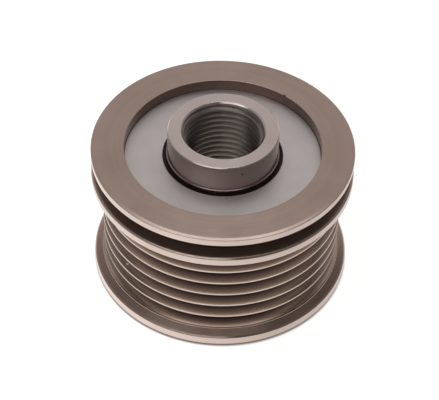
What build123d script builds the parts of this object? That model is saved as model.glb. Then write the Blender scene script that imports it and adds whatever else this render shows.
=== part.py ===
"""Overrunning alternator pulley for a ribbed belt, turned steel, standing on its front face.

The sheave turns freely one way round the threaded hub. Between them lie two caged roller bearings, with
a roller clutch in the middle. Millimetres, Z up along the axis, origin at the centre of the sheave's front
(lower) face. The rear end, which faces the alternator, is on top.
"""

from build123d import *
import math
import os

# Hub bore, from the axis outwards
thread_major = 18.0  # M18 x 1.5, right-hand
thread_pitch = 1.5
thread_depth_share = 0.54127  # of the pitch, in an internal metric thread
thread_depth = 20.1  # from the hub's rear end to the last turn
mouth_chamfer = 0.3
entry_angle = 60.0  # of the countersink above the first turn
relief_clear = 0.2  # the bore past the thread, over the thread's outer radius
serration_teeth = 33
serration_step = 0.3  # tooth tips, over the relief bore
serration_height = 0.9
serration_length = 7.2
tool_mouth_clear = 0.15  # plain mouth in front of the serration, over its roots
tool_mouth_depth = 0.8
hub_wall = 2.1  # round the serration's roots

# Hub outside
collar_stand = 4.44  # hub above the sheave's rear face
collar_relief = 0.25  # collar radius under the bearing seat
collar_edge = 0.2
seat_stand = 0.7  # bearing seat above the rear cover plate
hub_front_inset = 0.3  # hub above the front cover plate's lower face
hub_front_chamfer = 0.5

# Fits
running_gap = 0.02
press_gap = 0.01
axial_gap = 0.05

# Roller bearings
roller_dia = 4.0
roller_length = 5.4
rollers_each = 10
roller_pocket_gap = 0.1
roller_cage_rim = 0.4
roller_cage_wall = 2.0
race_wall = 2.46

# Roller clutch
clutch_rollers = 8
star_wall = 1.1  # star wheel under its flats
star_clear = 0.4  # star wheel under the race
wedge_shift = 1.9  # from a flat's middle to its roller
wedge_room = 0.5  # in front of the roller
clutch_roller_end_gap = 0.3
spring_strip = 0.22
spring_folds = 5
spring_swing = 1.4  # from fold to fold, across the flat
spring_space = 3.6  # along the flat, behind the roller
spring_end_gap = 0.9

# Covers and seals
cover_thick = 0.8
cover_gap = 0.79  # cover plate's hole, round the bearing seat
seal_thick = 0.7
seal_lip_gap = 0.05
rear_recess_depth = 2.7
cap_recess_depth = 4.0
cap_step = 0.5  # front cover plate's seat, under the cap recess's radius
shoulder_width = 2.78  # ledge that a cover plate sits on

# Sheave outside, from the bore outwards and from the front face up
groove_wall = 2.18  # between the cover recess and the groove roots
groove_count = 6
groove_pitch = 3.56
groove_angle = 40.0
groove_depth = 2.9
crest_width = 0.45
flank_run_out = 0.47  # the end flanks go on past the crests
lead_in_angle = 32.5
flange_rise = 2.33  # flanges over the crests
front_land = 2.62  # front flange at its rim
front_rim_edge = 0.36
front_edge = 0.7
middle_land = 1.99  # middle flange at its rim
middle_edge = 0.4
slot_width = 3.77
slot_depth = 4.15
rear_land = 1.68
rear_inset = 0.13  # rear flange radius under the other two
rear_bevel_width = 0.8
rear_bevel_drop = 0.12

# Radii that follow
thread_minor_r = thread_major / 2 - thread_depth_share * thread_pitch
lead_r = thread_major / 2
relief_r = lead_r + relief_clear
tooth_tip_r = relief_r + serration_step
tooth_root_r = tooth_tip_r + serration_height
seat_r = tooth_root_r + hub_wall
collar_r = seat_r - collar_relief
race_r = seat_r + roller_dia + 2 * running_gap
race_outer_r = race_r + race_wall
sheave_bore_r = race_outer_r + press_gap
recess_r = sheave_bore_r + shoulder_width
front_seat_r = recess_r - cap_step
root_r = recess_r + groove_wall
crest_r = root_r + groove_depth
flange_r = crest_r + flange_rise
rear_flange_r = flange_r - rear_inset
slot_floor_r = flange_r - slot_depth

# Heights that follow
half_angle = math.radians(groove_angle / 2)
half_mouth = (groove_pitch - crest_width) / 2
half_root = half_mouth - groove_depth * math.tan(half_angle)
lead_in_r = crest_r + flank_run_out
flank_end = half_mouth + flank_run_out * math.tan(half_angle)
lead_in_rise = (flange_r - lead_in_r) * math.tan(math.radians(lead_in_angle))
lowest_groove = front_land + lead_in_rise + flank_end
highest_groove = lowest_groove + (groove_count - 1) * groove_pitch
middle_flange_base = highest_groove + flank_end + lead_in_rise
slot_base = middle_flange_base + middle_land
slot_top = slot_base + slot_width
sheave_height = slot_top + rear_land
rear_cover_top = sheave_height - rear_recess_depth
rear_shoulder = rear_cover_top - cover_thick
front_shoulder = cap_recess_depth + cover_thick
race_base = front_shoulder + seal_thick
race_top = rear_shoulder - seal_thick
hub_top = sheave_height + collar_stand
hub_base = cap_recess_depth + hub_front_inset
seat_top = rear_cover_top + seat_stand
roller_cage_length = roller_length + 2 * (axial_gap + roller_cage_rim)
clutch_space = roller_cage_length + 2 * axial_gap
clutch_base = race_base + clutch_space
clutch_length = race_top - clutch_space - clutch_base

# Places round the axis
roller_circle_r = seat_r + running_gap + roller_dia / 2
flat_r = seat_r + star_wall
clutch_reach = race_r - running_gap
clutch_roller_r = (clutch_reach**2 - flat_r**2 - wedge_shift**2) / (2 * (clutch_reach + flat_r))
clutch_roller_length = clutch_length - 2 * clutch_roller_end_gap


def turned(section):
    """Solid turned about the axis from the (radius, height) corners of its section."""
    outline = Polyline(*section, close=True)
    return revolve(Plane.XZ * make_face(outline), axis=Axis.Z)


def tube(inner_r, outer_r, base, length):
    """Plain ring with square edges."""
    return turned([(inner_r, base), (outer_r, base), (outer_r, base + length), (inner_r, base + length)])


def around(shape, index, count):
    """The shape, turned to its place in a ring of count places."""
    return Rot(0, 0, 360 * index / count) * shape


def belt_grooves():
    """Corners of the ribbed belt face, from the middle flange down to the front flange."""
    corners = []
    for index in range(groove_count):
        middle = highest_groove - index * groove_pitch
        first, last = index == 0, index == groove_count - 1
        corners += [
            (lead_in_r, middle + flank_end) if first else (crest_r, middle + half_mouth),
            (root_r, middle + half_root),
            (root_r, middle - half_root),
            (lead_in_r, middle - flank_end) if last else (crest_r, middle - half_mouth),
        ]
    return corners


def make_sheave():
    """Turned ring: two flanges and the slot between, belt grooves, a front flange, and a stepped bore."""
    rim_drop = front_rim_edge * math.tan(math.radians(lead_in_angle))
    rear_side = [
        (recess_r, sheave_height),
        (rear_flange_r - rear_bevel_width, sheave_height),
        (rear_flange_r, sheave_height - rear_bevel_drop),
        (rear_flange_r, slot_top),
        (slot_floor_r, slot_top),
        (slot_floor_r, slot_base),
        (flange_r - middle_edge, slot_base),
        (flange_r, slot_base - middle_edge),
        (flange_r, middle_flange_base),
    ]
    front_side = [
        (flange_r - front_rim_edge, front_land + rim_drop),
        (flange_r, front_land + rim_drop - front_rim_edge),
        (flange_r, front_edge),
        (flange_r - front_edge, 0),
    ]
    inside = [
        (recess_r, 0),
        (recess_r, cap_recess_depth),
        (front_seat_r, cap_recess_depth),
        (front_seat_r, front_shoulder),
        (sheave_bore_r, front_shoulder),
        (sheave_bore_r, rear_shoulder),
        (recess_r, rear_shoulder),
    ]
    return turned(rear_side + belt_grooves() + front_side + inside)


def make_hub():
    """Threaded sleeve with a raised collar, a bearing seat, and the tool serration inside its front end."""
    thread_base = hub_top - thread_depth
    entry_top = hub_top - mouth_chamfer
    entry_depth = (lead_r - thread_minor_r) / math.tan(math.radians(entry_angle / 2))
    serration_base = hub_base + tool_mouth_depth
    serration_top = serration_base + serration_length
    tool_mouth_r = tooth_root_r + tool_mouth_clear
    outside = [
        (lead_r + mouth_chamfer, hub_top),
        (collar_r - collar_edge, hub_top),
        (collar_r, hub_top - collar_edge),
        (collar_r, seat_top + collar_relief),
        (seat_r, seat_top),
        (seat_r, hub_base + hub_front_chamfer),
        (seat_r - hub_front_chamfer, hub_base),
    ]
    inside = [
        (tool_mouth_r, hub_base),
        (tool_mouth_r, serration_base),
        (tooth_tip_r, serration_base),
        (tooth_tip_r, serration_top),
        (relief_r, serration_top),
        (relief_r, thread_base),
        (thread_minor_r, thread_base),
        (thread_minor_r, entry_top - entry_depth),
        (lead_r, entry_top),
    ]
    return turned(outside + inside) - Pos(0, 0, serration_base) * serration_cutter()


def serration_cutter():
    """Star-shaped bar that cuts the grooves between the serration's teeth."""
    corners = []
    for index in range(2 * serration_teeth):
        angle = math.pi * index / serration_teeth
        radius = tooth_root_r if index % 2 else tooth_tip_r
        corners.append((radius * math.cos(angle), radius * math.sin(angle)))
    return extrude(make_face(Polyline(*corners, close=True)), serration_length)


def make_roller():
    """One support roller, at the ring's first place, standing on height 0."""
    return Pos(roller_circle_r, 0, roller_length / 2) * Cylinder(roller_dia / 2, roller_length)


def make_roller_cage():
    """Ring with a window for each support roller, standing on height 0."""
    middle_r = roller_circle_r
    cage = tube(middle_r - roller_cage_wall / 2, middle_r + roller_cage_wall / 2, 0, roller_cage_length)
    window = Pos(middle_r, 0, roller_cage_length / 2) * Box(
        roller_dia, roller_dia + 2 * roller_pocket_gap, roller_length + 2 * axial_gap
    )
    return cage - [around(window, index, rollers_each) for index in range(rollers_each)]


def make_star_wheel():
    """Clutch inner ring on the hub, with a flat-bottomed pocket for each clutch roller and its spring."""
    outer_r = race_r - star_clear
    front = wedge_shift + clutch_roller_r + wedge_room
    back = wedge_shift - clutch_roller_r - spring_space
    height = 2 * (outer_r - flat_r)
    pocket = Pos(flat_r + height / 2, (back + front) / 2, clutch_base + clutch_length / 2) * Box(
        height, front - back, 2 * clutch_length
    )
    blank = tube(seat_r + press_gap, outer_r, clutch_base, clutch_length)
    return blank - [around(pocket, index, clutch_rollers) for index in range(clutch_rollers)]


def make_clutch_roller():
    """One clutch roller on its flat, at the ring's first place."""
    place = Pos(flat_r + clutch_roller_r, wedge_shift, clutch_base + clutch_length / 2)
    return place * Cylinder(clutch_roller_r, clutch_roller_length)


def make_clutch_spring():
    """Folded leaf spring that pushes a clutch roller along its flat, at the ring's first place."""
    low_r = flat_r + clutch_roller_r - spring_swing / 2
    high_r = low_r + spring_swing
    start = wedge_shift - clutch_roller_r - spring_space
    step = spring_space / spring_folds
    folds = [((high_r if index % 2 else low_r), start + index * step) for index in range(spring_folds + 1)]
    near = [(radius - spring_strip, along) for radius, along in folds]
    far = [(radius + spring_strip, along) for radius, along in reversed(folds)]
    width = clutch_length - 2 * spring_end_gap
    strip = extrude(make_face(Polyline(*near, *far, close=True)), width)
    return Pos(0, 0, clutch_base + spring_end_gap) * strip


def main():
    """Makes every piece and writes each to its own file."""
    rear_cage_base = race_top - axial_gap - roller_cage_length
    front_cage_base = race_base + axial_gap
    cover_inner_r = seat_r + cover_gap
    rear_cover_outer_r = recess_r - press_gap
    front_cover_outer_r = front_seat_r - press_gap
    seal_inner_r = seat_r + seal_lip_gap
    seal_outer_r = sheave_bore_r - press_gap

    pieces = {
        "sheave": make_sheave(),
        "hub": make_hub(),
        "outer_race": tube(race_r, race_outer_r, race_base, race_top - race_base),
        "rear_cover_plate": tube(cover_inner_r, rear_cover_outer_r, rear_shoulder, cover_thick),
        "front_cover_plate": tube(cover_inner_r, front_cover_outer_r, cap_recess_depth, cover_thick),
        "rear_seal": tube(seal_inner_r, seal_outer_r, rear_shoulder - seal_thick, seal_thick),
        "front_seal": tube(seal_inner_r, seal_outer_r, front_shoulder, seal_thick),
        "clutch_star_wheel": make_star_wheel(),
    }
    roller = make_roller()
    cage = make_roller_cage()
    for side, base in (("rear", rear_cage_base), ("front", front_cage_base)):
        pieces[f"{side}_roller_cage"] = Pos(0, 0, base) * cage
        raised = Pos(0, 0, base + roller_cage_rim + axial_gap) * roller
        for index in range(rollers_each):
            pieces[f"{side}_roller_{index + 1:02d}"] = around(raised, index, rollers_each)
    clutch_roller = make_clutch_roller()
    clutch_spring = make_clutch_spring()
    for index in range(clutch_rollers):
        pieces[f"clutch_roller_{index + 1}"] = around(clutch_roller, index, clutch_rollers)
        pieces[f"clutch_spring_{index + 1}"] = around(clutch_spring, index, clutch_rollers)

    os.makedirs("parts", exist_ok=True)
    for name, piece in pieces.items():
        export_step(piece, f"parts/{name}.step")


main()
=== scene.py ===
import math

import bmesh
import bpy
from mathutils import Matrix, Vector


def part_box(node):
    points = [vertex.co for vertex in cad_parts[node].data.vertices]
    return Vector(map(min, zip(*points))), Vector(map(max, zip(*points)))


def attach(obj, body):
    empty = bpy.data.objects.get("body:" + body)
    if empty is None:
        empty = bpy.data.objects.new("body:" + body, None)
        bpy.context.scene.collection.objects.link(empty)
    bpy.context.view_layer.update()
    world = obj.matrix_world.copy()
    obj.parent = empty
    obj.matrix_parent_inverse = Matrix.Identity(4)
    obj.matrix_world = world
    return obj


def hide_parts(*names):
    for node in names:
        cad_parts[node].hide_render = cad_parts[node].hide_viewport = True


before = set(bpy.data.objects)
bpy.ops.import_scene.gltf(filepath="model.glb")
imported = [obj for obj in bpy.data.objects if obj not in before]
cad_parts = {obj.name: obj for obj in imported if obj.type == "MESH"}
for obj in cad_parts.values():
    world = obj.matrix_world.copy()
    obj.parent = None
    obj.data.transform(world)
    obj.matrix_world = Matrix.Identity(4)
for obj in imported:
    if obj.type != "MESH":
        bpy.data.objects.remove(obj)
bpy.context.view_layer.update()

# Sizes of the pulley in millimetres, origin at the centre of the front face, rear end up

AXIS_R = 10.0  # radius of the path that outlines are turned along
RING_STEPS = 240
HUB_STEPS = 264  # a whole number for each of the serration's teeth
WELD = 0.0005

SHEAVE_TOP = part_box("sheave")[1][2] * 1000
HUB_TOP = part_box("hub")[1][2] * 1000
HUB_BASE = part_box("hub")[0][2] * 1000
SEAT_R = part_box("hub")[1][0] * 1000
FLANGE_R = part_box("sheave")[1][0] * 1000
PLATE_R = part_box("rear_cover_plate")[1][0] * 1000
PLATE_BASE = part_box("rear_cover_plate")[0][2] * 1000
PLATE_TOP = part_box("rear_cover_plate")[1][2] * 1000
FRONT_PLATE_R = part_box("front_cover_plate")[1][0] * 1000
FRONT_PLATE_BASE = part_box("front_cover_plate")[0][2] * 1000
FRONT_PLATE_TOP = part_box("front_cover_plate")[1][2] * 1000

PLATE_HOLE_R = 13.29
PRESS_GAP = 0.01
RECESS_R = PLATE_R + PRESS_GAP
FRONT_SEAT_R = FRONT_PLATE_R + PRESS_GAP
SHEAVE_BORE_R = 19.01

RIB_PITCH = 3.56
GROOVES = 6
GROOVE_SLOPE = math.tan(math.radians(20.0))
GROOVE_DEPTH = 2.9
CREST_WIDTH = 0.45
CREST_R = FLANGE_R - 2.33
ROOT_R = CREST_R - GROOVE_DEPTH
HALF_MOUTH = (RIB_PITCH - CREST_WIDTH) / 2
HALF_ROOT = HALF_MOUTH - GROOVE_DEPTH * GROOVE_SLOPE
RUN_OUT = 0.47
LEAD_IN_R = CREST_R + RUN_OUT
FLANK_END = HALF_MOUTH + RUN_OUT * GROOVE_SLOPE
LEAD_IN_SLOPE = math.tan(math.radians(32.5))
LEAD_IN_RISE = (FLANGE_R - LEAD_IN_R) * LEAD_IN_SLOPE
LIP = 0.24  # level ledge that the tool leaves where the lowest flank meets the front flange
LIP_EDGE = 0.04
FRONT_LAND = 2.62
FRONT_RIM_EDGE = 0.36
FRONT_EDGE = 0.7
LOWEST_GROOVE = FRONT_LAND + LEAD_IN_RISE + FLANK_END
HIGHEST_GROOVE = LOWEST_GROOVE + (GROOVES - 1) * RIB_PITCH
MIDDLE_BASE = HIGHEST_GROOVE + FLANK_END + LEAD_IN_RISE
SLOT_BASE = MIDDLE_BASE + 1.99
SLOT_TOP = SLOT_BASE + 3.77
MIDDLE_EDGE = 0.4
SLOT_FLOOR_R = FLANGE_R - 4.15
REAR_R = FLANGE_R - 0.13
REAR_BEVEL = 0.8  # how far in the rear rim's flat bevel starts
REAR_DROP = 0.12  # and how far down it ends

THREAD_MAJOR_R = 9.0
THREAD_MINOR_R = 8.188
THREAD_PITCH = 1.5
CREST_HALF = 0.125  # half width of the thread's crest before its edges are broken, in pitches
EDGE_END = 0.15  # where a broken edge of the crest meets the flank, in pitches from its middle
ROOT_HALF = 0.0625  # half width of the thread's root, in pitches
CREST_EDGE = 0.065  # radial size of the broken edges of the thread's crest
ROWS_A_PITCH = 16
THREAD_BASE = HUB_TOP - 20.1
MOUTH_EDGE = 0.3
ENTRY_TOP = HUB_TOP - MOUTH_EDGE
ENTRY_SLOPE = math.tan(math.radians(30.0))
RELIEF_R = 9.2
TOOTH_TIP_R = 9.5
TOOTH_ROOT_R = 10.4
TEETH = 33
TOOL_MOUTH_R = 10.55
SERRATION_BASE = HUB_BASE + 0.8
SERRATION_TOP = SERRATION_BASE + 7.2
COLLAR_R = SEAT_R - 0.25
COLLAR_EDGE = 0.2
SEAT_TOP = PLATE_TOP + 0.7
SEAT_STEP = 0.06
BASE_EDGE = 0.5

# Roundings of the outlines' corners

FILLET = 0.3  # a groove's or slot's inner corner, and the middle flange's bevel
RIB_ROUND = 0.09
RIM_ROUND = 0.12
SEAT_ROUND = 0.06
HUB_ROUND = 0.1
PLATE_ROUND = 0.14

ARC_STEP = 14  # most degrees that one step of a rounding turns
ARC_SHARE = 0.45  # most of a side that one rounding takes
LONG_SIDE = 4  # a side longer than this many reaches of its rounding gets one more point beside it,
GUARD = 1.7  # this many reaches from the corner, which keeps the shading of the side flat
CREASE = 24  # edges that turn more than this many degrees are shaded sharp
HUB_CREASE = 14.5

# Marks of wear: where they lie, and how wide they are from the middle

SCUFF = (13.665, 17.109, 33.682), 0.42
CHIP = (-20.506, -15.906, 11.43), 0.38
PIT = (4.338, -11.456, 35.836), 0.32
NICK = (1.083, -13.971, 30.98), 0.26

FLOOR_DARK_R = 28.8  # the floor under the pulley, out to the foot of its front flange, which a painted shadow darkens
FLOOR_FOOT_R = 32.5  # the floor close round it, which the front flange mirrors


def rounded(corners, closed=True):
    """Outline through (radius, height, rounding) corners, with an arc of short steps at each."""
    outline = []
    count = len(corners)
    for index, (radius, height, rounding) in enumerate(corners):
        corner = Vector((radius, height))
        if not closed and index in (0, count - 1):
            outline.append(corner)
            continue
        back = Vector(corners[index - 1][:2]) - corner
        ahead = Vector(corners[(index + 1) % count][:2]) - corner
        turn = math.pi - back.angle(ahead)
        reach = min(rounding * math.tan(turn / 2), ARC_SHARE * back.length, ARC_SHARE * ahead.length)
        arc_r = reach / math.tan(turn / 2)
        inwards = (back.normalized() + ahead.normalized()).normalized()
        centre = corner + inwards * arc_r / math.cos(turn / 2)
        first = corner + back.normalized() * reach
        last = corner + ahead.normalized() * reach
        steps = max(2, math.ceil(math.degrees(turn) / ARC_STEP))
        if back.length > LONG_SIDE * reach:
            outline.append(corner + back.normalized() * GUARD * reach)
        for step in range(steps + 1):
            share = step / steps
            side_a = math.sin((1 - share) * turn) / math.sin(turn)
            side_b = math.sin(share * turn) / math.sin(turn)
            outline.append(centre + (first - centre) * side_a + (last - centre) * side_b)
        if ahead.length > LONG_SIDE * reach:
            outline.append(corner + ahead.normalized() * GUARD * reach)
    return outline


def outline_object(name, outlines, closed):
    """Wire of outlines laid flat for turning: x is the distance from the path, y points down the axis."""
    points, edges = [], []
    for outline in outlines:
        start = len(points)
        points += [((radius - AXIS_R) / 1000, -height / 1000, 0) for radius, height in outline]
        edges += [(start + step, start + step + 1) for step in range(len(outline) - 1)]
        if closed:
            edges.append((len(points) - 1, start))
    mesh = bpy.data.meshes.new(name)
    mesh.from_pydata(points, edges, [])
    wire = bpy.data.objects.new(name, mesh)
    bpy.context.scene.collection.objects.link(wire)
    return wire


class Graph:
    """Node tree under construction, whose inputs take plain values and other nodes' outputs alike."""

    def __init__(self, tree):
        self.tree = tree
        self.nodes = tree.nodes
        self.links = tree.links

    def put(self, target, value):
        if isinstance(value, bpy.types.NodeSocket):
            self.links.new(value, target)
        else:
            target.default_value = value

    def node(self, kind, values=(), **settings):
        made = self.nodes.new(kind)
        for key, value in settings.items():
            setattr(made, key, value)
        for key, value in dict(values).items():
            self.put(made.inputs[key], value)
        return made

    def sum(self, operation, *values):
        made = self.node("ShaderNodeMath", operation=operation)
        for socket, value in zip(made.inputs, values):
            self.put(socket, value)
        return made.outputs[0]

    def split(self, vector):
        """X, Y and Z of a vector."""
        return self.node("ShaderNodeSeparateXYZ", {"Vector": vector}).outputs

    def vector(self, **values):
        """Vector of the given X, Y and Z, with 0 for one that isn't given."""
        return self.node("ShaderNodeCombineXYZ", values).outputs[0]

    def spread(self, value, from_min, from_max, to_min, to_max, smooth=False):
        """Carries a value from one range to another, and holds it at the ends."""
        made = self.node("ShaderNodeMapRange", {
            "Value": value, "From Min": from_min, "From Max": from_max, "To Min": to_min, "To Max": to_max,
        })
        if smooth:
            made.interpolation_type = "SMOOTHSTEP"
        return made.outputs[0]

    def ramp(self, value, stops):
        """Colour that runs through the given stops as the value goes from 0 to 1."""
        made = self.node("ShaderNodeValToRGB", {"Fac": value})
        while len(made.color_ramp.elements) < len(stops):
            made.color_ramp.elements.new(0.5)
        for element, (position, tone) in zip(made.color_ramp.elements, stops):
            element.position = position
            element.color = tone
        return made.outputs[0]

    def blend(self, share, first, second):
        """Colour between the first, at a share of 0, and the second, at 1."""
        made = self.node("ShaderNodeMix", {"Factor": share}, data_type="RGBA")
        self.put(made.inputs[6], first)
        self.put(made.inputs[7], second)
        return made.outputs[2]


class Tree(Graph):
    """Geometry node tree that turns an outline into a piece of metal."""

    def __init__(self, name, inputs):
        super().__init__(bpy.data.node_groups.new(name, "GeometryNodeTree"))
        interface = self.tree.interface
        interface.new_socket(name="Outline", in_out="INPUT", socket_type="NodeSocketGeometry")
        interface.new_socket(name="Metal piece", in_out="OUTPUT", socket_type="NodeSocketGeometry")
        self.names = {}
        for label, kind in inputs:
            socket = interface.new_socket(name=label, in_out="INPUT", socket_type=kind)
            self.names[label] = socket.identifier
        self.inlet = self.nodes.new("NodeGroupInput")
        self.outlet = self.nodes.new("NodeGroupOutput")

    def size(self, label):
        return self.inlet.outputs[label]

    def weld(self, *parts):
        """Joins parts and merges the points that meet."""
        joined = self.node("GeometryNodeJoinGeometry")
        for part in parts:
            self.links.new(part, joined.inputs[0])
        return self.node(
            "GeometryNodeMergeByDistance", {"Geometry": joined.outputs[0], "Distance": WELD / 1000}
        ).outputs[0]

    def along_path(self, outline, steps):
        """Outlines carried once round the axis."""
        curve = self.node("GeometryNodeMeshToCurve", {"Mesh": outline}).outputs[0]
        path = self.node(
            "GeometryNodeCurvePrimitiveCircle", {"Resolution": steps, "Radius": AXIS_R / 1000}
        ).outputs[0]
        return self.node("GeometryNodeCurveToMesh", {"Curve": path, "Profile Curve": curve}).outputs[0]

    def rolled_grid(self, around, rows):
        """Flat grid to be rolled round the axis, with its shares (0 to 1) round the axis and along it."""
        grid = self.node("GeometryNodeMeshGrid", {
            "Size X": 1.0, "Size Y": 1.0, "Vertices X": around, "Vertices Y": rows,
        }).outputs[0]
        east, north, _ = self.split(self.node("GeometryNodeInputPosition").outputs[0])
        return grid, self.sum("ADD", east, 0.5), self.sum("ADD", north, 0.5)

    def roll(self, grid, turn, radius, height):
        """Rolls a grid to the given radius and height at each share of a turn."""
        angle = self.sum("MULTIPLY", turn, 2 * math.pi)
        place = self.vector(
            X=self.sum("MULTIPLY", radius, self.sum("COSINE", angle)),
            Y=self.sum("MULTIPLY", radius, self.sum("SINE", angle)),
            Z=height,
        )
        return self.node("GeometryNodeSetPosition", {"Geometry": grid, "Position": place}).outputs[0]

    def bored(self, radius, base):
        """Selects the faces within a radius of the axis and above a height."""
        east, north, up = self.split(self.node("GeometryNodeInputPosition").outputs[0])
        square = self.sum("ADD", self.sum("MULTIPLY", east, east), self.sum("MULTIPLY", north, north))
        away = self.sum("SQRT", square)
        slack = WELD / 1000
        inside = self.sum("LESS_THAN", away, self.sum("ADD", radius, slack))
        above = self.sum("GREATER_THAN", up, self.sum("SUBTRACT", base, slack))
        return self.sum("MULTIPLY", inside, above)

    def finish(self, parts, metal, cut_faces=None, cut_metal=None):
        """Welds the parts into one piece of metal, with another finish on the faces that were cut later."""
        real = self.node("GeometryNodeRealizeInstances", {"Geometry": self.weld(*parts)})
        coated = self.node("GeometryNodeSetMaterial", {"Geometry": real.outputs[0], "Material": metal})
        if cut_faces is not None:
            coated = self.node("GeometryNodeSetMaterial", {
                "Geometry": coated.outputs[0], "Selection": cut_faces, "Material": cut_metal,
            })
        self.links.new(coated.outputs[0], self.outlet.inputs[0])
        return self


def ribbed_turning():
    """Turned ring whose belt ribs repeat one rib's outline."""
    tree = Tree("Ribbed turning", [
        ("Rib outline", "NodeSocketObject"),
        ("Rib count", "NodeSocketInt"),
        ("Rib pitch", "NodeSocketFloat"),
        ("Lowest rib", "NodeSocketFloat"),
        ("Steps round", "NodeSocketInt"),
        ("Metal", "NodeSocketMaterial"),
    ])
    rib = tree.node("GeometryNodeObjectInfo", {"Object": tree.size("Rib outline")}).outputs["Geometry"]
    row = tree.node("GeometryNodeMeshLine", {
        "Count": tree.size("Rib count"),
        "Start Location": tree.vector(Y=tree.sum("MULTIPLY", tree.size("Lowest rib"), -1.0)),
        "Offset": tree.vector(Y=tree.sum("MULTIPLY", tree.size("Rib pitch"), -1.0)),
    }, mode="OFFSET")
    ribs = tree.node("GeometryNodeInstanceOnPoints", {"Points": row.outputs[0], "Instance": rib}).outputs[0]
    loose_ribs = tree.node("GeometryNodeRealizeInstances", {"Geometry": ribs}).outputs[0]
    outline = tree.weld(tree.size("Outline"), loose_ribs)
    ring = tree.along_path(outline, tree.size("Steps round"))
    return tree.finish([ring], tree.size("Metal"))


def plain_turning():
    """Turned ring from its outline alone."""
    tree = Tree("Plain turning", [("Steps round", "NodeSocketInt"), ("Metal", "NodeSocketMaterial")])
    ring = tree.along_path(tree.size("Outline"), tree.size("Steps round"))
    return tree.finish([ring], tree.size("Metal"))


def thread_rows(tree, share):
    """Rows of one pitch, spaced so that they fall on the edges of the thread's crest and root."""
    made = tree.node("ShaderNodeFloatCurve", {"Value": share})
    curve = made.mapping.curves[0]
    rows = (0.1, EDGE_END, 0.29, 0.5 - ROOT_HALF, 0.5 + ROOT_HALF, 1 - EDGE_END, 0.9)
    for number, row in enumerate(rows, start=1):
        curve.points.new(number / (len(rows) + 1), row)
    for point in curve.points:
        point.handle_type = "VECTOR"
    made.mapping.update()
    return made.outputs[0]


def threaded_turning():
    """Turned sleeve whose bore has a helical thread at one end and a serration at the other."""
    tree = Tree("Threaded turning", [
        ("Thread outer radius", "NodeSocketFloat"),
        ("Thread inner radius", "NodeSocketFloat"),
        ("Thread pitch", "NodeSocketFloat"),
        ("Crest edge", "NodeSocketFloat"),
        ("Thread base", "NodeSocketFloat"),
        ("Thread top", "NodeSocketFloat"),
        ("Entry slope", "NodeSocketFloat"),
        ("Rows a pitch", "NodeSocketInt"),
        ("Teeth", "NodeSocketInt"),
        ("Tooth tip radius", "NodeSocketFloat"),
        ("Tooth root radius", "NodeSocketFloat"),
        ("Mouth radius", "NodeSocketFloat"),
        ("Relief radius", "NodeSocketFloat"),
        ("Serration base", "NodeSocketFloat"),
        ("Serration top", "NodeSocketFloat"),
        ("Steps round", "NodeSocketInt"),
        ("Metal", "NodeSocketMaterial"),
        ("Thread metal", "NodeSocketMaterial"),
    ])
    steps = tree.size("Steps round")
    sleeve = tree.along_path(tree.size("Outline"), steps)
    around = tree.sum("ADD", steps, 1.0)

    pitch, base, top = tree.size("Thread pitch"), tree.size("Thread base"), tree.size("Thread top")
    outer, inner = tree.size("Thread outer radius"), tree.size("Thread inner radius")
    turns = tree.sum("CEIL", tree.sum("DIVIDE", tree.sum("SUBTRACT", top, base), pitch))
    all_turns = tree.sum("ADD", turns, 1.0)
    rows = tree.sum("ADD", tree.sum("MULTIPLY", all_turns, tree.size("Rows a pitch")), 1.0)
    grid, turn, along = tree.rolled_grid(around, rows)
    row = tree.sum("MULTIPLY", along, all_turns)
    spaced = tree.sum("ADD", tree.sum("FLOOR", row), thread_rows(tree, tree.sum("FRACT", row)))
    climb = tree.sum("SUBTRACT", tree.sum("ADD", spaced, turn), 1.0)
    free_height = tree.sum("ADD", base, tree.sum("MULTIPLY", climb, pitch))
    height = tree.sum("MINIMUM", tree.sum("MAXIMUM", free_height, base), top)
    lap = tree.sum("SUBTRACT", tree.sum("DIVIDE", tree.sum("SUBTRACT", height, base), pitch), turn)
    from_crest = tree.sum("PINGPONG", lap, 0.5)
    flank = tree.spread(from_crest, CREST_HALF, 0.5 - ROOT_HALF, inner, outer)
    past_edge = tree.sum("MULTIPLY", tree.sum("SUBTRACT", from_crest, EDGE_END), pitch)
    broken_edge = tree.sum("ADD", tree.sum("ADD", inner, tree.size("Crest edge")), past_edge)
    formed = tree.sum("MAXIMUM", flank, broken_edge)
    below_entry = tree.sum("MULTIPLY", tree.sum("SUBTRACT", top, height), tree.size("Entry slope"))
    top_cone = tree.sum("SUBTRACT", outer, below_entry)
    base_cone = tree.sum("SUBTRACT", outer, tree.sum("SUBTRACT", height, base))
    radius = tree.sum("MAXIMUM", formed, tree.sum("MAXIMUM", top_cone, base_cone))
    thread = tree.roll(grid, turn, radius, height)

    # Four rows: mouth and tooth at the serration's base, tooth and relief at its top
    grid, turn, along = tree.rolled_grid(around, 4)
    half_wave = tree.sum("PINGPONG", tree.sum("MULTIPLY", turn, tree.size("Teeth")), 0.5)
    wave = tree.sum("MULTIPLY", half_wave, 2.0)
    tooth = tree.spread(wave, 0.0, 1.0, tree.size("Tooth tip radius"), tree.size("Tooth root radius"))
    outside = tree.sum("LESS_THAN", along, 0.2)
    inside = tree.sum("GREATER_THAN", along, 0.8)
    upper = tree.sum("GREATER_THAN", along, 0.5)
    with_mouth = tree.spread(outside, 0.0, 1.0, tooth, tree.size("Mouth radius"))
    with_relief = tree.spread(inside, 0.0, 1.0, with_mouth, tree.size("Relief radius"))
    level = tree.spread(upper, 0.0, 1.0, tree.size("Serration base"), tree.size("Serration top"))
    serration = tree.roll(grid, turn, with_relief, level)
    return tree.finish(
        [sleeve, thread, serration], tree.size("Metal"), tree.bored(outer, base), tree.size("Thread metal"))


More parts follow.
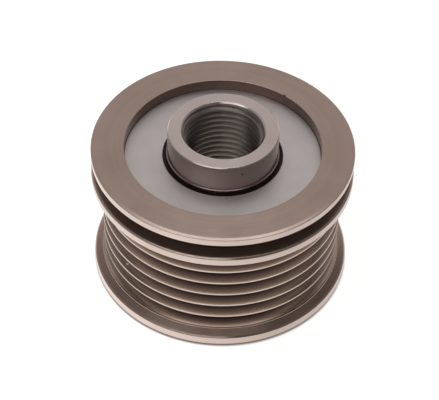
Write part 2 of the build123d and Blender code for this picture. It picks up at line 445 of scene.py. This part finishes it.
def turned_piece(name, outlines, closed, tree, metal, crease=CREASE, **sizes):
    """Plain mesh of a turned piece, welded, facing outwards and shaded smooth across its slight edges."""
    wire = outline_object(name + "_outline", outlines, closed)
    modifier = wire.modifiers.new("Turning", "NODES")
    modifier.node_group = tree.tree
    for key, value in {"metal": metal, **sizes}.items():
        modifier[tree.names[key.replace("_", " ").capitalize()]] = value
    settled = wire.evaluated_get(bpy.context.evaluated_depsgraph_get())
    mesh = bpy.data.meshes.new_from_object(settled)
    bpy.data.objects.remove(wire)
    work = bmesh.new()
    work.from_mesh(mesh)
    bmesh.ops.remove_doubles(work, verts=work.verts, dist=WELD / 1000)
    bmesh.ops.dissolve_degenerate(work, edges=work.edges, dist=WELD / 5000)
    bmesh.ops.recalc_face_normals(work, faces=work.faces)
    for face in work.faces:
        face.smooth = True
    for edge in work.edges:
        if len(edge.link_faces) == 2 and edge.calc_face_angle() > math.radians(crease):
            edge.smooth = False
    work.to_mesh(mesh)
    work.free()
    mesh.name = name
    piece = bpy.data.objects.new(name, mesh)
    bpy.context.scene.collection.objects.link(piece)
    return piece


class Finish(Graph):
    """Material under construction, with the Object coordinates that its patterns follow."""

    def __init__(self, name, shader="ShaderNodeBsdfPrincipled"):
        self.material = bpy.data.materials.new(name)
        self.material.use_nodes = True
        super().__init__(self.material.node_tree)
        self.nodes.clear()
        output = self.nodes.new("ShaderNodeOutputMaterial")
        self.shader = self.nodes.new(shader)
        self.links.new(self.shader.outputs[0], output.inputs["Surface"])
        self.place = self.nodes.new("ShaderNodeTexCoord").outputs["Object"]
        self.east, north, self.height = self.split(self.place)
        flat = self.vector(X=self.east, Y=north)
        self.radius = self.node("ShaderNodeVectorMath", {0: flat}, operation="LENGTH").outputs["Value"]

    def noise(self, scale, detail=2.0, vector=None):
        made = self.node("ShaderNodeTexNoise", {
            "Vector": vector or self.place, "Scale": scale, "Detail": detail, "Roughness": 0.55,
        })
        return made.outputs["Fac"]

    def clouds(self, scale):
        """Soft patches, from 0 to 1."""
        return self.spread(self.noise(scale, 3.0), 0.35, 0.65, 0.0, 1.0)

    def uneven(self, pattern, low, high):
        """Roughness that follows a pattern between two values."""
        return self.spread(pattern, 0.3, 0.7, low, high)

    def tool_marks(self, feed):
        """Noise that hardly changes round the axis at each radius and height, as turning leaves it."""
        lines = self.vector(
            X=self.sum("DIVIDE", self.radius, feed / 1000), Y=self.sum("DIVIDE", self.height, feed / 1000))
        drift = self.node("ShaderNodeVectorMath", {0: self.place, 1: (15.0,) * 3}, operation="MULTIPLY")
        both = self.node("ShaderNodeVectorMath", {0: lines, 1: drift.outputs[0]}, operation="ADD")
        return self.noise(1.0, vector=both.outputs[0])

    def streaked(self, tone, marks, low, high):
        """Colour made a little darker and lighter by tool marks."""
        streaks = self.spread(marks, 0.35, 0.65, low, high)
        return self.node("ShaderNodeVectorMath", {0: tone, 1: streaks}, operation="MULTIPLY").outputs[0]

    def spot(self, place, size):
        """Share that is 1 within a small round spot in millimetres and 0 outside it."""
        centre = tuple(value / 1000 for value in place)
        away = self.node("ShaderNodeVectorMath", {0: self.place, 1: centre}, operation="DISTANCE")
        return self.spread(away.outputs["Value"], size * 0.5 / 1000, size / 1000, 1.0, 0.0, smooth=True)

    def within(self, value, low, high, edge=0.05):
        """Share that is 1 where a radius or height in metres lies between two millimetre values."""
        above = self.spread(value, (low - edge) / 1000, (low + edge) / 1000, 0.0, 1.0, smooth=True)
        below = self.spread(value, (high - edge) / 1000, (high + edge) / 1000, 1.0, 0.0, smooth=True)
        return self.sum("MULTIPLY", above, below)

    def ring(self, heights, radii, edge=0.05):
        """Share that is 1 between two heights and two radii in millimetres."""
        return self.sum(
            "MULTIPLY", self.within(self.height, *heights), self.within(self.radius, *radii, edge))

    def cover(self, tone, where, share, overlay_tone):
        """Lays a colour over a tone, by a share, where a pattern is 1."""
        return self.blend(self.sum("MULTIPLY", where, share), tone, overlay_tone)

    def turned_gloss(self, amount):
        """Stretches the gloss across the fine marks that turning leaves round the axis."""
        self.shader.inputs["Anisotropic"].default_value = amount
        self.shader.inputs["Anisotropic Rotation"].default_value = 0.25
        round_axis = self.node("ShaderNodeTangent", direction_type="RADIAL", axis="Z")
        self.put(self.shader.inputs["Tangent"], round_axis.outputs[0])

    def bump(self, height, distance, strength):
        return self.node(
            "ShaderNodeBump", {"Height": height, "Distance": distance / 1000, "Strength": strength}
        ).outputs[0]

    def coat(self, tone, metallic, roughness, normal=None):
        """Gives the shader its colour, metal, roughness and relief, and returns the finished material."""
        values = {"Base Color": tone, "Metallic": metallic, "Roughness": roughness}
        if normal is not None:
            values["Normal"] = normal
        for label, value in values.items():
            self.put(self.shader.inputs[label], value)
        return self.material


def colour(red, green, blue):
    """Scene colour of an 8-bit display colour."""
    levels = (((v / 255 + 0.055) / 1.055) ** 2.4 if v > 10 else v / 3295 for v in (red, green, blue))
    return (*levels, 1.0)


def sheave_finish():
    """Fine turned steel, thinly coated warm grey, with painted shade in the slot, recess, cone and groove
    bottoms.
    """
    look = Finish("Turned coated steel")
    tone = look.blend(look.clouds(90.0), colour(206, 189, 180), colour(199, 181, 170))
    marks = look.tool_marks(0.3)
    tone = look.streaked(tone, marks, 0.965, 1.03)

    # The slot's colour is darkened with painted shade, most of all at its floor.
    in_slot = look.ring((SLOT_BASE - 0.1, SLOT_TOP + 0.1), (SLOT_FLOOR_R - 1, FLANGE_R - 0.45), 0.15)
    slot_shade_share = look.spread(look.radius, (SLOT_FLOOR_R + 0.1) / 1000, (SLOT_FLOOR_R + 1.2) / 1000, 0.92, 0.35)
    tone = look.cover(tone, in_slot, slot_shade_share, colour(84, 66, 58))
    # The wall of the recess above the rear plate is darkened with painted shade.
    recess_shade = look.ring((PLATE_TOP - 0.5, SHEAVE_TOP - 0.12), (RECESS_R - 1.0, RECESS_R + 0.08), 0.04)
    tone = look.cover(tone, recess_shade, 0.85, colour(120, 100, 93))
    # The front flange's sloping cone is darkened and warmed a little with painted shade.
    cone_shade = look.ring((FRONT_LAND, FRONT_LAND + LEAD_IN_RISE + 0.1), (LEAD_IN_R, FLANGE_R + 0.1))
    tone = look.cover(tone, cone_shade, 0.26, colour(140, 108, 88))
    # The grooves are darkened with painted shade from the crests down to their bottoms.
    depth = look.spread(look.radius, (CREST_R - 0.06) / 1000, (CREST_R - 2.3) / 1000, 0.0, 1.0)
    overlay_tone = look.ramp(depth, (
        (0.0, colour(204, 192, 182)), (0.12, colour(160, 147, 133)), (0.45, colour(132, 117, 112)),
        (1.0, colour(74, 60, 70)),
    ))
    in_grooves = look.ring(
        (LOWEST_GROOVE - FLANK_END, HIGHEST_GROOVE + FLANK_END), (ROOT_R - 0.5, CREST_R - 0.04), 0.02)
    tone = look.cover(tone, in_grooves, 0.85, overlay_tone)
    tone = look.cover(tone, look.spot(*SCUFF), 0.75, colour(70, 54, 48))
    tone = look.cover(tone, look.spot(*CHIP), 0.95, colour(250, 246, 240))

    smooth = look.uneven(look.noise(240.0, 3.0), 0.2, 0.25)
    roughness = look.sum("ADD", smooth, look.sum("MULTIPLY", in_slot, 0.24))
    look.turned_gloss(0.4)
    return look.coat(tone, 1.0, roughness, look.bump(marks, 0.004, 0.04))


def hub_finish():
    """Fine turned steel, lighter than the sheave, with painted shade darkening the side of the collar."""
    look = Finish("Turned hub steel")
    tone = look.blend(look.clouds(140.0), colour(242, 235, 233), colour(234, 227, 224))
    marks = look.tool_marks(0.25)
    tone = look.streaked(tone, marks, 0.97, 1.02)
    # The hub is darkened with painted shade from the side of the collar outwards.
    collar_side_shade = look.spread(look.radius, (COLLAR_R - 0.12) / 1000, (COLLAR_R - 0.04) / 1000, 0.0, 1.0)
    tone = look.cover(tone, collar_side_shade, 0.8, colour(158, 140, 134))
    tone = look.cover(tone, look.spot(*PIT), 0.8, colour(48, 36, 34))
    look.turned_gloss(0.4)
    roughness = look.uneven(look.noise(300.0, 3.0), 0.18, 0.23)
    return look.coat(tone, 1.0, roughness, look.bump(marks, 0.004, 0.03))


def thread_finish():
    """Cut thread: the tap leaves fine marks all round, which spread the gloss up and down the bore."""
    look = Finish("Cut thread steel")
    tone = look.blend(look.clouds(260.0), colour(174, 168, 163), colour(164, 158, 153))
    look.turned_gloss(0.95)
    return look.coat(tone, 1.0, look.uneven(look.noise(400.0, 3.0), 0.36, 0.42))


def plate_finish():
    """Matt grey sheet steel."""
    look = Finish("Matt sheet steel")
    fine = look.noise(2600.0)
    tone = look.blend(look.clouds(110.0), colour(240, 238, 238), colour(233, 231, 231))
    tone = look.cover(tone, look.spot(*NICK), 0.4, colour(110, 102, 100))
    return look.coat(tone, 0.95, look.uneven(fine, 0.5, 0.56), look.bump(fine, 0.01, 0.08))


def plain_finish(name, tones, metallic, roughness, grain):
    """Finish of an inner piece: two close tones, uneven roughness and a fine grain."""
    look = Finish(name)
    patches = look.noise(180.0, 3.0)
    relief = look.bump(look.noise(grain), 0.004, 0.3)
    return look.coat(look.blend(patches, *tones), metallic, look.uneven(patches, *roughness), relief)


def make_sheave(metal):
    half_pitch = RIB_PITCH / 2
    rib_edge = half_pitch - HALF_ROOT
    rib = [
        (ROOT_R, half_pitch, 0),
        (ROOT_R, rib_edge, FILLET),
        (CREST_R, CREST_WIDTH / 2, RIB_ROUND),
        (CREST_R, -CREST_WIDTH / 2, RIB_ROUND),
        (ROOT_R, -rib_edge, FILLET),
        (ROOT_R, -half_pitch, 0),
    ]
    lip_height = LOWEST_GROOVE - FLANK_END + LIP * GROOVE_SLOPE
    rim_drop = FRONT_RIM_EDGE * LEAD_IN_SLOPE
    front = [
        (ROOT_R, LOWEST_GROOVE, 0),
        (ROOT_R, LOWEST_GROOVE - HALF_ROOT, FILLET),
        (LEAD_IN_R - LIP, lip_height, 0.02),
        (LEAD_IN_R, lip_height, 0.05),
        (LEAD_IN_R + LIP_EDGE, LOWEST_GROOVE - FLANK_END - LIP_EDGE * LEAD_IN_SLOPE, 0.02),
        (FLANGE_R - FRONT_RIM_EDGE, FRONT_LAND + rim_drop, 0.2),
        (FLANGE_R, FRONT_LAND + rim_drop - FRONT_RIM_EDGE, 0.2),
        (FLANGE_R, FRONT_EDGE, 0.15),
        (FLANGE_R - FRONT_EDGE, 0, 0.15),
    ]
    inside = [
        (RECESS_R, 0, RIM_ROUND),
        (RECESS_R, FRONT_PLATE_BASE, 0.08),
        (FRONT_SEAT_R, FRONT_PLATE_BASE, SEAT_ROUND),
        (FRONT_SEAT_R, FRONT_PLATE_TOP, SEAT_ROUND),
        (SHEAVE_BORE_R, FRONT_PLATE_TOP, SEAT_ROUND),
        (SHEAVE_BORE_R, PLATE_BASE, SEAT_ROUND),
        (RECESS_R, PLATE_BASE, SEAT_ROUND),
        (RECESS_R, SHEAVE_TOP, 0.14),
    ]
    rear = [
        (REAR_R - REAR_BEVEL, SHEAVE_TOP, 0.5),
        (REAR_R, SHEAVE_TOP - REAR_DROP, 0.13),
        (REAR_R, SLOT_TOP, RIM_ROUND),
        (SLOT_FLOOR_R, SLOT_TOP, FILLET),
        (SLOT_FLOOR_R, SLOT_BASE, FILLET),
        (FLANGE_R - MIDDLE_EDGE, SLOT_BASE, FILLET),
        (FLANGE_R, SLOT_BASE - MIDDLE_EDGE, FILLET),
        (FLANGE_R, MIDDLE_BASE, RIM_ROUND),
        (LEAD_IN_R, HIGHEST_GROOVE + FLANK_END, RIM_ROUND),
        (ROOT_R, HIGHEST_GROOVE + HALF_ROOT, FILLET),
        (ROOT_R, HIGHEST_GROOVE, 0),
    ]
    rib_wire = outline_object("rib_outline", [rounded(rib, closed=False)], closed=False)
    piece = turned_piece(
        "sheave_turning", [rounded(front + inside + rear, closed=False)], False, ribbed_turning(), metal,
        rib_outline=rib_wire, rib_count=GROOVES - 1, rib_pitch=RIB_PITCH / 1000,
        lowest_rib=(LOWEST_GROOVE + half_pitch) / 1000, steps_round=RING_STEPS,
    )
    bpy.data.objects.remove(rib_wire)
    return piece


def make_hub(metal, thread_metal):
    outside = [
        (THREAD_MAJOR_R, ENTRY_TOP, 0),
        (THREAD_MAJOR_R + MOUTH_EDGE, HUB_TOP, 0.15),
        (COLLAR_R - COLLAR_EDGE, HUB_TOP, RIM_ROUND),
        (COLLAR_R, HUB_TOP - COLLAR_EDGE, RIM_ROUND),
        (COLLAR_R, SEAT_TOP + SEAT_STEP, RIM_ROUND),
        (SEAT_R, SEAT_TOP, HUB_ROUND),
        (SEAT_R, HUB_BASE + BASE_EDGE, HUB_ROUND),
        (SEAT_R - BASE_EDGE, HUB_BASE, HUB_ROUND),
        (TOOL_MOUTH_R, HUB_BASE, HUB_ROUND),
        (TOOL_MOUTH_R, SERRATION_BASE, 0),
    ]
    relief = [
        (RELIEF_R, SERRATION_TOP, 0),
        (RELIEF_R, THREAD_BASE, HUB_ROUND),
        (THREAD_MAJOR_R, THREAD_BASE, 0),
    ]
    lengths = {
        "thread_outer_radius": THREAD_MAJOR_R,
        "thread_inner_radius": THREAD_MINOR_R,
        "thread_pitch": THREAD_PITCH,
        "crest_edge": CREST_EDGE,
        "thread_base": THREAD_BASE,
        "thread_top": ENTRY_TOP,
        "tooth_tip_radius": TOOTH_TIP_R,
        "tooth_root_radius": TOOTH_ROOT_R,
        "mouth_radius": TOOL_MOUTH_R,
        "relief_radius": RELIEF_R,
        "serration_base": SERRATION_BASE,
        "serration_top": SERRATION_TOP,
    }
    return turned_piece(
        "hub_turning", [rounded(outside, closed=False), rounded(relief, closed=False)], False,
        threaded_turning(), metal, crease=HUB_CREASE, entry_slope=ENTRY_SLOPE, rows_a_pitch=ROWS_A_PITCH,
        teeth=TEETH, steps_round=HUB_STEPS, thread_metal=thread_metal,
        **{label: length / 1000 for label, length in lengths.items()},
    )


def make_plate(name, outer_r, base, top, metal):
    corners = [
        (PLATE_HOLE_R, base, 0.1),
        (outer_r, base, 0.1),
        (outer_r, top, PLATE_ROUND),
        (PLATE_HOLE_R, top, PLATE_ROUND),
    ]
    return turned_piece(name, [rounded(corners)], True, plain_turning(), metal, steps_round=RING_STEPS)


def place_camera():
    """Camera of the fitted view: it looks down at the pulley from the front."""
    focal, width = 1503.884, 439  # in pixels
    distance, elevation = 330.589, 0.74707
    yaw, pitch, roll = 0.0012653, -0.036736, -0.029252
    centre = Vector((0, 0, SHEAVE_TOP))
    offset = Vector((0, -distance * math.cos(elevation), distance * math.sin(elevation)))
    forward = -offset.normalized()
    right = Vector((1, 0, 0))
    up = right.cross(forward)
    forward, right = Matrix.Rotation(yaw, 3, up) @ forward, Matrix.Rotation(yaw, 3, up) @ right
    forward, up = Matrix.Rotation(pitch, 3, right) @ forward, Matrix.Rotation(pitch, 3, right) @ up
    right, up = Matrix.Rotation(roll, 3, forward) @ right, Matrix.Rotation(roll, 3, forward) @ up
    data = bpy.data.cameras.new("camera")
    data.sensor_fit = "HORIZONTAL"
    data.sensor_width = 36.0
    data.lens = focal * 36.0 / width
    data.clip_start = 0.01
    data.clip_end = 20.0
    camera = bpy.data.objects.new("camera", data)
    bpy.context.scene.collection.objects.link(camera)
    turn = Matrix((right, up, -forward)).transposed().to_4x4()
    camera.matrix_world = Matrix.Translation((centre + offset) / 1000) @ turn
    bpy.context.scene.camera = camera


def make_floor():
    """White floor that keeps a faint shadow.

    The camera sees it plain white, and the metal sees it a little brighter on the left than on the right.
    Where the pulley covers it, a painted shadow keeps it dark, except for painted light under the bore.
    """
    mesh = bpy.data.meshes.new("floor")
    half = 3.0
    corners = [(-half, -half, 0), (half, -half, 0), (half, half, 0), (-half, half, 0)]
    mesh.from_pydata(corners, [], [(0, 1, 2, 3)])
    floor = bpy.data.objects.new("floor", mesh)
    bpy.context.scene.collection.objects.link(floor)
    look = Finish("White sweep", shader="ShaderNodeMixShader")
    ray = look.nodes.new("ShaderNodeLightPath")
    far = look.spread(look.east, -0.05, 0.05, 1.25, 0.93)
    foot = look.spread(look.east, -0.018, 0.016, 1.3, 0.9)
    at_foot = look.within(look.radius, -5.0, FLOOR_FOOT_R, 2.0)
    lit = look.sum("ADD", far, look.sum("MULTIPLY", at_foot, look.sum("SUBTRACT", foot, far)))
    level = look.sum("MAXIMUM", lit, ray.outputs["Is Camera Ray"])
    # Painted shadow keeps the floor under the pulley dark, and painted light keeps it bright under the bore.
    in_bore = look.within(look.radius, -5.0, TOOL_MOUTH_R)
    under = look.blend(in_bore, colour(112, 98, 88), colour(255, 252, 248))
    open_floor = look.spread(
        look.radius, FLOOR_DARK_R / 1000, (FLOOR_DARK_R + 0.9) / 1000, 0.0, 1.0, smooth=True)
    tone = look.blend(open_floor, under, look.vector(X=level, Y=level, Z=level))
    paper = look.node("ShaderNodeBsdfDiffuse", {"Color": (0.9, 0.9, 0.9, 1.0)})
    glow = look.node("ShaderNodeEmission", {"Color": tone, "Strength": 1.13})
    seen = look.sum("MAXIMUM", ray.outputs["Is Camera Ray"], ray.outputs["Is Glossy Ray"])
    look.put(look.shader.inputs["Fac"], look.sum("MULTIPLY", seen, 0.85))
    look.put(look.shader.inputs[1], paper.outputs[0])
    look.put(look.shader.inputs[2], glow.outputs[0])
    mesh.materials.append(look.material)


def soft_box(name, place, target, width, height, brightness):
    """Area lamp whose face is as bright as the given level, where 1 is white."""
    data = bpy.data.lights.new(name, "AREA")
    data.shape = "RECTANGLE"
    data.size, data.size_y = width, height
    data.energy = brightness * math.pi * width * height
    lamp = bpy.data.objects.new(name, data)
    bpy.context.scene.collection.objects.link(lamp)
    lamp.location = place
    lamp.visible_camera = False
    lamp.rotation_euler = (Vector(target) - Vector(place)).to_track_quat("-Z", "Y").to_euler()


# Levels of the studio's walls and ceiling, where 1 is white: down its middle, from level ahead (0) over the
# top (0.5) to level behind (1), and up its sides, from level (0) to the top (1)

DOWN_THE_MIDDLE = (
    (0.0, 0.12), (0.25, 0.1), (0.32, 0.08), (0.38, 0.06), (0.402, 0.06), (0.412, 1.4), (0.49, 1.4),
    (0.52, 0.25), (0.62, 0.3), (0.68, 0.5), (0.72, 0.38), (0.8, 0.46), (0.9, 0.42), (1.0, 0.4),
)
UP_THE_SIDES = ((0.0, 0.28), (0.2, 0.28), (0.42, 0.25), (0.6, 0.19), (0.78, 0.18), (0.88, 0.08), (1.0, 0.02))


def light_studio():
    """Soft studio: dim walls, a bright strip overhead, a grey one from there down the middle of the dark
    ceiling behind, and a pale panel at the front."""
    world = bpy.data.worlds.new("studio")
    bpy.context.scene.world = world
    world.use_nodes = True
    look = Graph(world.node_tree)
    look.nodes.clear()

    def warm(stops):
        return [(place, (level, level * 0.89, level * 0.85, 1.0)) for place, level in stops]

    def between(value, low, high, edge):
        """Share that is 1 from low to high, with soft edges outside them."""
        above = look.spread(value, low - edge, low, 0.0, 1.0)
        below = look.spread(value, high, high + edge, 1.0, 0.0)
        return look.sum("MULTIPLY", above, below)

    east, north, up = look.split(look.nodes.new("ShaderNodeTexCoord").outputs["Generated"])
    ahead = look.sum("MULTIPLY", north, -1.0)
    arc = look.sum("DIVIDE", look.sum("ARCTAN2", up, ahead), math.pi)
    middle = look.ramp(arc, warm(DOWN_THE_MIDDLE))

    sides = look.ramp(up, warm(UP_THE_SIDES))
    left_lit = look.spread(east, -0.7, 0.7, 1.2, 0.8)
    sideways = look.sum("ABSOLUTE", east)
    ceiling = look.sum("MULTIPLY", between(up, 0.44, 1.1, 0.05), between(north, 0.14, 1.1, 0.06))
    dark_corner = look.sum("MULTIPLY", ceiling, between(sideways, -1.0, 0.72, 0.04))
    corner_level = look.sum("SUBTRACT", 1.0, look.sum("MULTIPLY", dark_corner, 0.88))
    side_level = look.sum("MULTIPLY", left_lit, corner_level)
    dim_sides = look.node("ShaderNodeVectorMath", {0: sides, 1: side_level}, operation="MULTIPLY").outputs[0]

    behind = look.spread(north, 0.2, 0.45, 0.0, 0.35)
    aside = look.spread(look.sum("SUBTRACT", sideways, behind), 0.3, 0.36, 0.0, 1.0)
    walls = look.blend(aside, middle, dim_sides)
    round_front = look.sum("DIVIDE", look.sum("ARCTAN2", east, ahead), math.pi / 180)
    panel = look.sum("MULTIPLY", between(round_front, -62.0, 6.0, 6.0), between(up, 0.64, 0.75, 0.02))
    lit_walls = look.blend(panel, walls, (1.3, 1.24, 1.2, 1.0))
    seen = look.nodes.new("ShaderNodeLightPath").outputs["Is Camera Ray"]
    backdrop = look.blend(seen, lit_walls, (1.0, 1.0, 1.0, 1.0))
    glow = look.node("ShaderNodeBackground", {"Color": backdrop, "Strength": 1.0}).outputs[0]
    look.node("ShaderNodeOutputWorld", {"Surface": glow})
    soft_box("overhead_box", (0.0, 0.5, 1.15), (0, 0, 0.03), 0.56, 0.42, 0.85)


def main():
    sheet = plate_finish()
    sheave = make_sheave(sheave_finish())
    hub = make_hub(hub_finish(), thread_finish())
    rear_plate = make_plate("rear_plate_turning", PLATE_R, PLATE_BASE, PLATE_TOP, sheet)
    front_plate = make_plate(
        "front_plate_turning", FRONT_PLATE_R, FRONT_PLATE_BASE, FRONT_PLATE_TOP, sheet)
    pieces = (
        (sheave, "sheave", "sheave", "sheave_steel"),
        (hub, "hub", "hub", "hub_steel"),
        (rear_plate, "sheave", "rear_cover_plate", "cover_steel"),
        (front_plate, "sheave", "front_cover_plate", "cover_steel"),
    )
    for piece, body, node, slot in pieces:
        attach(piece, body)
        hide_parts(node)

    bearing = plain_finish(
        "Ground bearing steel", (colour(196, 196, 198), colour(180, 180, 184)), 1.0, (0.2, 0.32), 1800.0)
    strip = plain_finish(
        "Spring strip", (colour(190, 192, 196), colour(160, 162, 168)), 1.0, (0.25, 0.35), 1500.0)
    rubber = plain_finish(
        "Black seal rubber", (colour(44, 33, 31), colour(56, 43, 39)), 0.0, (0.55, 0.75), 3000.0)
    nylon = plain_finish(
        "Moulded cage", (colour(58, 50, 42), colour(72, 62, 52)), 0.0, (0.4, 0.55), 2200.0)
    inner = {
        "spring": strip, "seal": rubber, "cage": nylon, "roller": bearing, "race": bearing, "wheel": bearing,
    }
    for node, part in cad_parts.items():
        finish = next((finish for word, finish in inner.items() if word in node), None)
        if finish is not None:
            for slot in part.material_slots:
                slot.material = finish

    scene = bpy.context.scene
    scene.view_settings.view_transform = "Standard"
    place_camera()
    make_floor()
    light_studio()


main()
